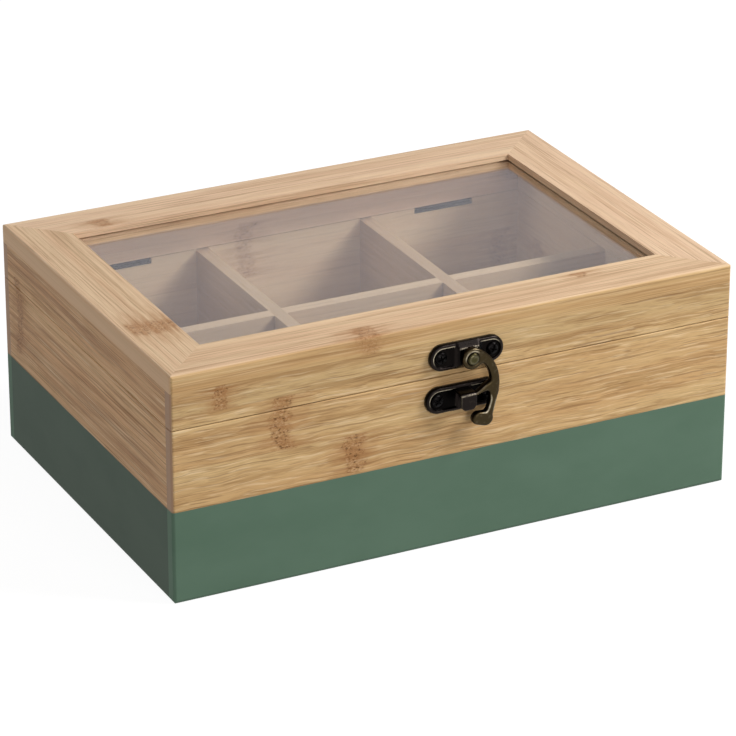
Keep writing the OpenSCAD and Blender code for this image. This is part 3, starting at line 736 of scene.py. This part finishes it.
def evenly(ring, passes=0):
    """The ring with evenly spaced points, eased to take out its facets, anticlockwise."""
    closed = np.vstack([ring, ring[:1]])
    run = np.concatenate([[0], np.cumsum(np.linalg.norm(np.diff(closed, axis=0), axis=1))])
    at = np.linspace(0, run[-1], max(24, round(run[-1] / RING_SPACING)), endpoint=False)
    even = np.column_stack([np.interp(at, run, closed[:, axis]) for axis in (0, 1)])
    for _ in range(passes):
        even = 0.5 * even + 0.25 * (np.roll(even, 1, 0) + np.roll(even, -1, 0))
    following = np.roll(even, -1, 0)
    area = (even[:, 0] * following[:, 1] - following[:, 0] * even[:, 1]).sum()
    return even if area > 0 else even[::-1]


def to_ring(points, ring):
    """Distance of each point from a closed ring."""
    edge = np.roll(ring, -1, 0) - ring
    away = points[:, None] - ring
    share = np.clip((away * edge).sum(2) / (edge ** 2).sum(1), 0, 1)
    return np.linalg.norm(away - share[..., None] * edge, axis=2).min(1)


def is_inside(points, ring):
    """Which points lie inside a closed ring."""
    following = np.roll(ring, -1, 0)
    x, y = points[:, :1], points[:, 1:]
    spans = (ring[:, 1] > y) != (following[:, 1] > y)
    rise = np.where(following[:, 1] == ring[:, 1], 1, following[:, 1] - ring[:, 1])
    crossing = ring[:, 0] + (following[:, 0] - ring[:, 0]) * (y - ring[:, 1]) / rise
    return (spans & (x < crossing)).sum(1) % 2 == 1


def inset_ring(ring, inset):
    """The ring moved inwards, without the points that come too near another part of it."""
    along = np.roll(ring, -1, 0) - np.roll(ring, 1, 0)
    inwards = np.column_stack([-along[:, 1], along[:, 0]]) / np.linalg.norm(along, axis=1)[:, None]
    moved = ring + inset * inwards
    return moved[is_inside(moved, ring) & (to_ring(moved, ring) > 0.97 * inset)]


def fill_points(rings, insets, spacing):
    """Points between an outer ring and its holes: rings near the edge, and a grid in the middle."""
    outer, holes = rings[0], rings[1:]
    near = [inset_ring(outer, inset) for inset in insets]
    low, high = outer.min(0), outer.max(0)
    rows = np.arange(low[1], high[1], spacing * math.sqrt(0.75))
    columns = np.arange(low[0], high[0], spacing)
    grid = np.array([(x + spacing / 2 * (i % 2), z) for i, z in enumerate(rows) for x in columns])
    grid = grid[is_inside(grid, outer)]
    grid = grid[to_ring(grid, outer) > max(insets) + 0.6 * spacing]
    points = np.vstack(near + [grid])
    for hole in holes:
        points = points[~is_inside(points, hole) & (to_ring(points, hole) > 0.4 * spacing)]
    return points


def new_casting():
    """An empty mesh, whose points say how rubbed the metal is and where it carries painted highlights."""
    mesh = bmesh.new()
    return mesh, mesh.verts.layers.float.new(RUBBED)


def add_vert(mesh, rubbed, x, out, z, share):
    """A point that stands out of the front of the box, and its share of rubbing and painted highlight."""
    vert = mesh.verts.new((x, -BOX_D / 2 - out, z))
    vert[rubbed] = share
    return vert


def flat_faces(rings, insets, spacing):
    """A flat mesh of all that lies between an outer ring and its holes, as its points and faces."""
    points = np.vstack(rings + [fill_points(rings, insets, spacing)])
    edges, first = [], 0
    for ring in rings:
        edges += [(first + i, first + (i + 1) % len(ring)) for i in range(len(ring))]
        first += len(ring)
    flat = delaunay_2d_cdt([Vector(p) for p in points], edges, [], 1, 1e-5)
    points = np.array([tuple(p) for p in flat[0]])
    faces = [tuple(face) for face in flat[2]]
    middles = np.array([points[list(face)].mean(0) for face in faces])
    in_hole = np.zeros(len(faces), bool)
    for hole in rings[1:]:
        in_hole |= is_inside(middles, hole)
    return points, [face for face, hollow in zip(faces, in_hole) if not hollow]


def close_casting(mesh, faces, front, back):
    """Skins a casting's front and back, and joins the two all round."""
    edges = {}
    for face in faces:
        edges |= dict.fromkeys(zip(face, face[1:] + face[:1]))
        mesh.faces.new([front[i] for i in face])
        mesh.faces.new([back[i] for i in reversed(face)])
    for a, b in edges:
        if (b, a) not in edges:
            mesh.faces.new([front[b], front[a], back[a], back[b]])
    bmesh.ops.delete(mesh, geom=[v for v in mesh.verts if not v.link_faces], context="VERTS")


def relief_mesh(rings, insets, spacing, front, back, rubbed):
    """A casting between two faces. front and back give the faces' heights from the points and their
    distance from the outer edge, in millimetres out from the front of the box, and rubbed gives how
    rubbed the front is there, with its painted highlights."""
    points, faces = flat_faces(rings, insets, spacing)
    deep = to_ring(points, rings[0])
    mesh, layer = new_casting()
    sides = []
    for heights, shares in ((front(points, deep), rubbed(points, deep)), (back(points, deep), 0 * deep)):
        side = []
        for (x, z), height, share in zip(points, heights, shares):
            side.append(add_vert(mesh, layer, x, height, z, share))
        sides.append(side)
    close_casting(mesh, faces, *sides)
    return mesh


def skin_rings(mesh, rings):
    """Faces between each ring of points and the next one. A ring may be a single point."""
    count = max(len(ring) for ring in rings)
    for one, other in zip(rings, rings[1:]):
        for i in range(count):
            j = (i + 1) % count
            corners = [one[i % len(one)], one[j % len(one)]]
            corners += [other[j % len(other)], other[i % len(other)]]
            mesh.faces.new(list(dict.fromkeys(corners)))


def new_piece(name, mesh, material):
    """Makes an object of a mesh drawn in millimetres."""
    bmesh.ops.recalc_face_normals(mesh, faces=mesh.faces)
    bmesh.ops.scale(mesh, vec=(MM, MM, MM), verts=mesh.verts)
    for face in mesh.faces:
        face.smooth = True
    data = bpy.data.meshes.new(name)
    mesh.to_mesh(data)
    mesh.free()
    data.materials.append(material)
    return new_object(name, data)


def step_between(value, low, high):
    """A smooth step from 0 to 1 as value goes from low to high."""
    share = np.clip((value - low) / (high - low), 0, 1)
    return share * share * (3 - 2 * share)


def within(distance, full, none):
    """1 up to the distance full, falling smoothly to 0 at the distance none."""
    return step_between(-distance, -none, -full)


def distances(points, place):
    """Distance of each point from a place."""
    return np.linalg.norm(points - place, axis=1)


def band(value, middle, half_width):
    """1 where value is at the middle, falling smoothly to nothing on either side."""
    return np.exp(-((value - middle) / half_width) ** 2)


def rounding(deep, radius):
    """How far a rounded edge lies under its face, by distance from the edge."""
    left = radius - np.minimum(deep, radius)
    return radius - np.sqrt(radius ** 2 - left ** 2)


def tongue_path(shelf, end):
    """Sections along the tongue, each as its height out, its height up and its turn."""
    path = [(out, shelf, 0) for out in TONGUE_ROOT]
    for degrees in range(0, 91, 15):
        turn = math.radians(degrees)
        out = TONGUE_OUT - TONGUE_BEND * (1 - math.sin(turn))
        path.append((out, shelf - TONGUE_BEND * (1 - math.cos(turn)), turn))
    return path + [(TONGUE_OUT, end + left, math.pi / 2) for left in TONGUE_TO_END]


def tongue_section(half_w, half_t):
    """Points of the tongue's rounded section: side and face of their corner, angle on it, and place."""
    edge = min(TONGUE_EDGE, half_t)
    for side, face in ((1, 1), (1, -1), (-1, -1), (-1, 1)):
        for angle in range(0, 91, 18) if side == face else range(90, -1, -18):
            turn = math.radians(angle)
            across = side * (half_w - edge + edge * math.sin(turn))
            through = face * (half_t - edge + edge * math.cos(turn))
            yield side, face, angle, across, through


def tongue_rubbed(turn, side, face, angle):
    """The tongue is rubbed on its front. Its bend carries a painted highlight and its left edge a fainter
    one, and the top of its shelf is as dark as its hidden back, as painted shade.
    """
    if face < 0:
        return TONGUE_WEAR_SHADE_AND_GLINTS["hidden_and_shaded"]
    # the shelf's top takes the hidden faces' darkness, as painted shade
    share = TONGUE_WEAR_SHADE_AND_GLINTS["front" if turn > 1 else "hidden_and_shaded"]
    # painted highlights on the bend and along the left edge
    share += TONGUE_WEAR_SHADE_AND_GLINTS["bend"] * float(band(turn, math.pi / 4, 0.3))
    if side < 0:
        share += TONGUE_WEAR_SHADE_AND_GLINTS["edge"] * float(band(angle, 45, 25))
    return share


def catch_tongue(middle):
    """The catch's tongue: a strap that stands out of its plate over the beak, and turns down there."""
    x, shelf = middle + (TONGUE_SHIFT, TONGUE_SHELF)
    end = middle[1] - TONGUE_DROP
    mesh, layer = new_casting()
    rings = []
    for out, height, turn in tongue_path(shelf, end):
        half_w = TONGUE_W / 2 - rounding(height - end, TONGUE_CORNER)
        half_t = TONGUE_T / 2 - rounding(height - end, TONGUE_EDGE)
        ring = []
        for side, face, angle, across, through in tongue_section(half_w, half_t):
            stand = out + through * math.sin(turn)
            lift = height + through * math.cos(turn)
            share = tongue_rubbed(turn, side, face, angle)
            ring.append(add_vert(mesh, layer, x + across, stand, lift, share))
        rings.append(ring)
    skin_rings(mesh, rings)
    mesh.faces.new(rings[0])
    mesh.faces.new(rings[-1])
    return mesh


def turned_mesh(profile, middle, count=48):
    """A turned part that stands out of the front of the box, from (radius, height, rubbed) points."""
    mesh, layer = new_casting()
    rings = []
    for radius, height, share in profile:
        ring = []
        for i in range(count if radius else 1):
            turn = 2 * math.pi * i / count
            x, z = middle[0] + radius * math.cos(turn), middle[1] + radius * math.sin(turn)
            ring.append(add_vert(mesh, layer, x, height, z, share))
        rings.append(ring)
    skin_rings(mesh, rings)
    return mesh


def join_meshes(mesh, other):
    """Adds a second mesh to the first one."""
    data = bpy.data.meshes.new("joined")
    other.to_mesh(data)
    other.free()
    mesh.from_mesh(data)
    bpy.data.meshes.remove(data)
    return mesh


def hook_front(points, deep):
    """Heights of the hook: rounded edges, a crowned face, and a dish for the rivet's head."""
    crown = HOOK_CROWN * (1 - np.minimum(deep / HOOK_CROWN_W, 1)) ** 2
    dish = EYE_DISH * within(distances(points, PIVOT), EYE_DISH_R - 0.7, EYE_DISH_R)
    return HOOK_FRONT - rounding(deep, HOOK_EDGE) - crown - dish


def hook_rubbed(points, deep):
    """The hook is rubbed along its edges, and its face is a little darker in the dish round the rivet.
    Painted highlights lie on the upper left of its eye, on the ridge round the eye there where that is
    narrow, on the beak's upper edge, and along the lower arm's inner edge by the grip.
    """
    from_pivot = distances(points, PIVOT)
    # painted highlights on the upper left of the eye and on its ridge there
    eye_glint_side = step_between((points - PIVOT) @ GLINT_SIDE, 0.0, 2.5)
    ridge = band(from_pivot, EYE_DISH_R + 0.05, 0.25) * within(deep, 1.2, 2.2) * eye_glint_side
    in_dish = within(from_pivot, EYE_DISH_R - 0.7, EYE_DISH_R - 0.2)
    face = HOOK_WEAR_AND_GLINTS["face"] * step_between(deep, 0.03, 0.5) * (1 - 0.35 * in_dish)
    # painted highlights along the grip's inner edge and on the beak's upper edge
    grip_glint = within(distances(points, GRIP_GLINT_AT), 0.55 * GRIP_GLINT_R, GRIP_GLINT_R)
    beak_glint = within(distances(points, BEAK_GLINT_AT), 2.2, 3.6)
    beak_glint = beak_glint * step_between((points - BEAK_GLINT_AT) @ GLINT_SIDE, 0.0, 0.5)
    edge_wear_and_glints = HOOK_WEAR_AND_GLINTS["edge"] + HOOK_WEAR_AND_GLINTS["grip"] * grip_glint
    edge_wear_and_glints = edge_wear_and_glints + HOOK_WEAR_AND_GLINTS["beak"] * beak_glint + HOOK_WEAR_AND_GLINTS["eye"] * eye_glint_side
    edge = band(deep, 0.24 + 0.14 * grip_glint, 0.14 + 0.12 * grip_glint)
    return np.clip(face + edge_wear_and_glints * edge + HOOK_WEAR_AND_GLINTS["ridge"] * ridge, 0, 1)


def hook_back(points, deep):
    return HOOK_BACK + rounding(deep, BACK_EDGE)


def plate_front(middle, land, pad=False):
    """Heights of a latch plate: a rounded edge, a pocket at either end, and the pivot's raised pad."""

    def front(points, deep):
        from_middle = np.abs(points - middle)
        sunk = step_between(deep, POCKET_RIM, POCKET_RIM + POCKET_SLOPE)
        sunk = sunk * step_between(from_middle[:, 0], land, land + POCKET_SLOPE)
        height = PLATE_TOP - rounding(deep, PLATE_EDGE) - (PLATE_TOP - POCKET_FLOOR) * sunk
        if pad:
            past = np.maximum(from_middle - (PAD_HALF_W, PAD_HALF_H), 0)
            height = np.maximum(height, PAD_TOP - PAD_SLOPE * np.linalg.norm(past, axis=1))
        return height

    return front


def plate_rubbed(middle, land, pad=False):
    """A plate is rubbed a little on the crest round its pockets. Painted highlights lie on the crest's
    upper part and on the upper edge of the pivot's pad.
    """

    def rubbed(points, deep):
        across, up = (points - middle).T
        aside = np.abs(across)
        past_land = step_between(aside, land + POCKET_SLOPE, land + 3 * POCKET_SLOPE)
        sunk = step_between(deep, POCKET_RIM + 0.1, POCKET_RIM + POCKET_SLOPE) * past_land
        # painted highlight: the crest is brightest on its upper part
        upper = step_between(up - 0.35 * np.maximum(across, 0), -3.0, 0.6)
        crest = band(deep, CREST_AT, 0.15) * past_land
        crest = (PLATE_WEAR_AND_GLINTS["crest"] + PLATE_WEAR_AND_GLINTS["upper_crest_glint"] * upper) * crest
        share = PLATE_WEAR_AND_GLINTS["face"] * (1 - sunk) * step_between(deep, 0.0, 0.5) + crest
        if pad:
            # painted highlight along the pad's upper edge
            pad_edge_glint = band(up, PAD_HALF_H, 0.3) * within(aside, PAD_HALF_W, PAD_HALF_W + 0.2)
            share = share * step_between(aside, PAD_HALF_W, PAD_HALF_W + 1.6)
            share = share + PLATE_WEAR_AND_GLINTS["pad"] + PLATE_WEAR_AND_GLINTS["pad_edge_glint"] * pad_edge_glint
        return np.clip(share, 0, 1)

    return rubbed


def plate_back(points, deep):
    return np.zeros(len(points))


def stand_in(piece, node, body):
    """The piece is seen in place of a CAD node."""
    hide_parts(node)
    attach(piece, body)


BLACKENED = old_metal_material("blackened_brass", PLATE_BRASS, 0.015)
OLIVE = old_metal_material("olive_brass", HOOK_BRASS, 0.05)
RIVET = old_metal_material("rivet_brass", RIVET_BRASS, 0.08)

outline, eye = flat_outlines("latch_hook", HOOK_BACK)
hook_rings = [evenly(outline, passes=4), evenly(eye)]
hook_mesh = relief_mesh(hook_rings, HOOK_INSETS, HOOK_SPACING, hook_front, hook_back, hook_rubbed)
stand_in(new_piece("hook_casting", hook_mesh, OLIVE), "latch_hook", "hook")

PLATES = {"pivot_plate": ("lid", PIVOT_LAND, True), "catch_plate": ("box", CATCH_LAND, False)}
PLATE_MIDDLES = {}
for node, (body, land, pad) in PLATES.items():
    rings = [evenly(ring) for ring in flat_outlines(node, 0)]
    middle = (rings[0].min(0) + rings[0].max(0)) / 2
    front, rubbed = plate_front(middle, land, pad), plate_rubbed(middle, land, pad)
    mesh = relief_mesh(rings, PLATE_INSETS, PLATE_SPACING, front, plate_back, rubbed)
    if node == "catch_plate":
        mesh = join_meshes(mesh, catch_tongue(middle))
    stand_in(new_piece(node + "_casting", mesh, BLACKENED), node, body)
    PLATE_MIDDLES[node] = middle

RIVET_HEAD = [(0, 6.70, 0.5), (0.8, 6.68, 0.5), (1.3, 6.62, 0.53), (1.6, 6.54, 0.56), (1.9, 6.38, 0.4)]
RIVET_RIM = [(2.15, 6.18, 0.15), (2.32, 6.02, 0), (2.32, 5.9, 0), (2.25, 5.82, 0)]
RIVET_SHANK = [(1.7, 5.82, 0), (1.7, 0.0, 0), (0, 0.0, 0)]
rivet_mesh = turned_mesh(RIVET_HEAD + RIVET_RIM + RIVET_SHANK, PIVOT)
stand_in(new_piece("rivet", rivet_mesh, RIVET), "latch_rivet", "lid")

# ------------------------------ screws, by Geometry Nodes


def geometry_tree(name, inputs):
    """A tree that makes a mesh from named inputs. Returns it with its inputs and its output."""
    tree = bpy.data.node_groups.new(name, "GeometryNodeTree")
    tree.interface.new_socket("Geometry", in_out="OUTPUT", socket_type="NodeSocketGeometry")
    for socket_name, kind in inputs.items():
        tree.interface.new_socket(socket_name, in_out="INPUT", socket_type="NodeSocket" + kind)
    given = tree.nodes.new("NodeGroupInput").outputs
    return tree, given, tree.nodes.new("NodeGroupOutput").inputs["Geometry"]


def placed(geometry, **inputs):
    return add_node(geometry.id_data, "GeometryNodeTransform", {"Geometry": geometry} | inputs).outputs[0]


def screw_head(tree, given):
    """A round head with a cross recess."""
    sizes = {"Segments": HEAD_SEGMENTS, "Rings": HEAD_RINGS, "Radius": 1.0}
    ball = add_node(tree, "GeometryNodeMeshUVSphere", sizes).outputs[0]
    head = placed(ball, Scale=combined(*[given["Head Radius"]] * 2, given["Head Height"]))
    cut = add_node(tree, "GeometryNodeMeshBoolean", {"Mesh 1": head}, operation="DIFFERENCE")
    depth = product(given["Cross Depth"], 2.0)
    slot_size = combined(given["Cross Length"], given["Cross Width"], depth)
    slot = add_node(tree, "GeometryNodeMeshCube", {"Size": slot_size}).outputs[0]
    top = combined(0.0, 0.0, given["Head Height"])
    for turn in (0, math.pi / 2):
        give(cut.inputs["Mesh 2"], placed(slot, Translation=top, Rotation=(0, 0, turn)))
    return cut.outputs[0]


def screw_shank(tree, given):
    """A shank that goes down from the head, and its point."""
    sizes = {"Vertices": SHANK_SIDES, "Radius": given["Shank Radius"], "Depth": given["Shank Length"]}
    shank = add_node(tree, "GeometryNodeMeshCylinder", sizes).outputs[0]
    half = product(given["Shank Length"], -0.5)
    shank = placed(shank, Translation=combined(0.0, 0.0, half))
    sizes = {"Vertices": SHANK_SIDES, "Radius Top": given["Shank Radius"], "Radius Bottom": POINT_R * MM}
    point = add_node(tree, "GeometryNodeMeshCone", sizes | {"Depth": given["Point Length"]}).outputs[0]
    length = maths("ADD", given["Shank Length"], given["Point Length"])
    down = combined(0.0, 0.0, product(length, -1.0))
    return shank, placed(point, Translation=down)


def build_plate_screws():
    """Two round-headed wood screws with a cross recess, one either side of a plate's middle."""
    inputs = {"Middle": "Vector"} | dict.fromkeys(SCREW_SIZES, "Float")
    tree, given, out = geometry_tree("Plate screws", inputs | {"Material": "Material", "Seed": "Int"})
    screw = tree.nodes.new("GeometryNodeJoinGeometry")
    for part in (screw_head(tree, given), *screw_shank(tree, given)):
        give(screw.inputs[0], part)
    start = combined(product(given["Spread"], -1.0), 0.0, 0.0)
    offset = combined(product(given["Spread"], 2.0), 0.0, 0.0)
    line = {"Count": 2, "Start Location": start, "Offset": offset}
    places = add_node(tree, "GeometryNodeMeshLine", line).outputs[0]
    turns = add_node(tree, "FunctionNodeRandomValue", data_type="FLOAT_VECTOR")
    give(turns.inputs["Max"], (0, 0, math.pi / 2))
    give(turns.inputs["Seed"], given["Seed"])
    both = {"Points": places, "Instance": screw.outputs[0], "Rotation": turns.outputs[0]}
    pair = add_node(tree, "GeometryNodeInstanceOnPoints", both).outputs[0]
    upright = placed(pair, Translation=given["Middle"], Rotation=(math.pi / 2, 0, 0))
    solid = add_node(tree, "GeometryNodeRealizeInstances", {"Geometry": upright}).outputs[0]
    finished = {"Geometry": solid, "Material": given["Material"]}
    give(out, add_node(tree, "GeometryNodeSetMaterial", finished).outputs[0])
    return tree


def grown_piece(name, tree, values):
    """Runs a geometry tree with the values, and keeps the result as a plain mesh."""
    piece = new_object(name, bpy.data.meshes.new(name))
    growth = piece.modifiers.new("growth", "NODES")
    growth.node_group = tree
    for socket in tree.interface.items_tree:
        if socket.in_out == "INPUT":
            growth[socket.identifier] = values[socket.name]
    evaluated = piece.evaluated_get(bpy.context.evaluated_depsgraph_get())
    mesh = bpy.data.meshes.new_from_object(evaluated)
    piece.modifiers.remove(growth)
    piece.data = mesh
    mesh.name = name
    mesh.shade_smooth()
    mesh.set_sharp_from_angle(angle=math.radians(35))
    return piece


SCREW = old_metal_material("blackened_steel", SCREW_STEEL, 0.3, by_mesh=False)
PLATE_SCREWS = build_plate_screws()
for node, body, seed in (("pivot_plate", "lid", 3), ("catch_plate", "box", 8)):
    x, z = PLATE_MIDDLES[node]
    middle = [x * MM, -(BOX_D / 2 + POCKET_FLOOR) * MM, z * MM]
    values = {name: size * MM for name, size in SCREW_SIZES.items()}
    values |= {"Middle": middle, "Material": SCREW, "Seed": seed}
    screws = grown_piece(node + "_screw_pair", PLATE_SCREWS, values)
    stand_in(screws, node + "_screws", body)

# ------------------------------ pane and hinges

finish_node("window_pane", pane_material())
HINGE = old_metal_material("hinge_steel", HINGE_STEEL, 0.22, by_mesh=False)
for part in ("hinge_box_leaf", "hinge_lid_leaf", "hinge_pin"):
    finish_node("left_" + part, HINGE)
    finish_node("right_" + part, HINGE)
finish_node("hinge_box_screws", HINGE)
finish_node("hinge_lid_screws", HINGE)

bpy.context.scene.view_settings.view_transform = "Standard"
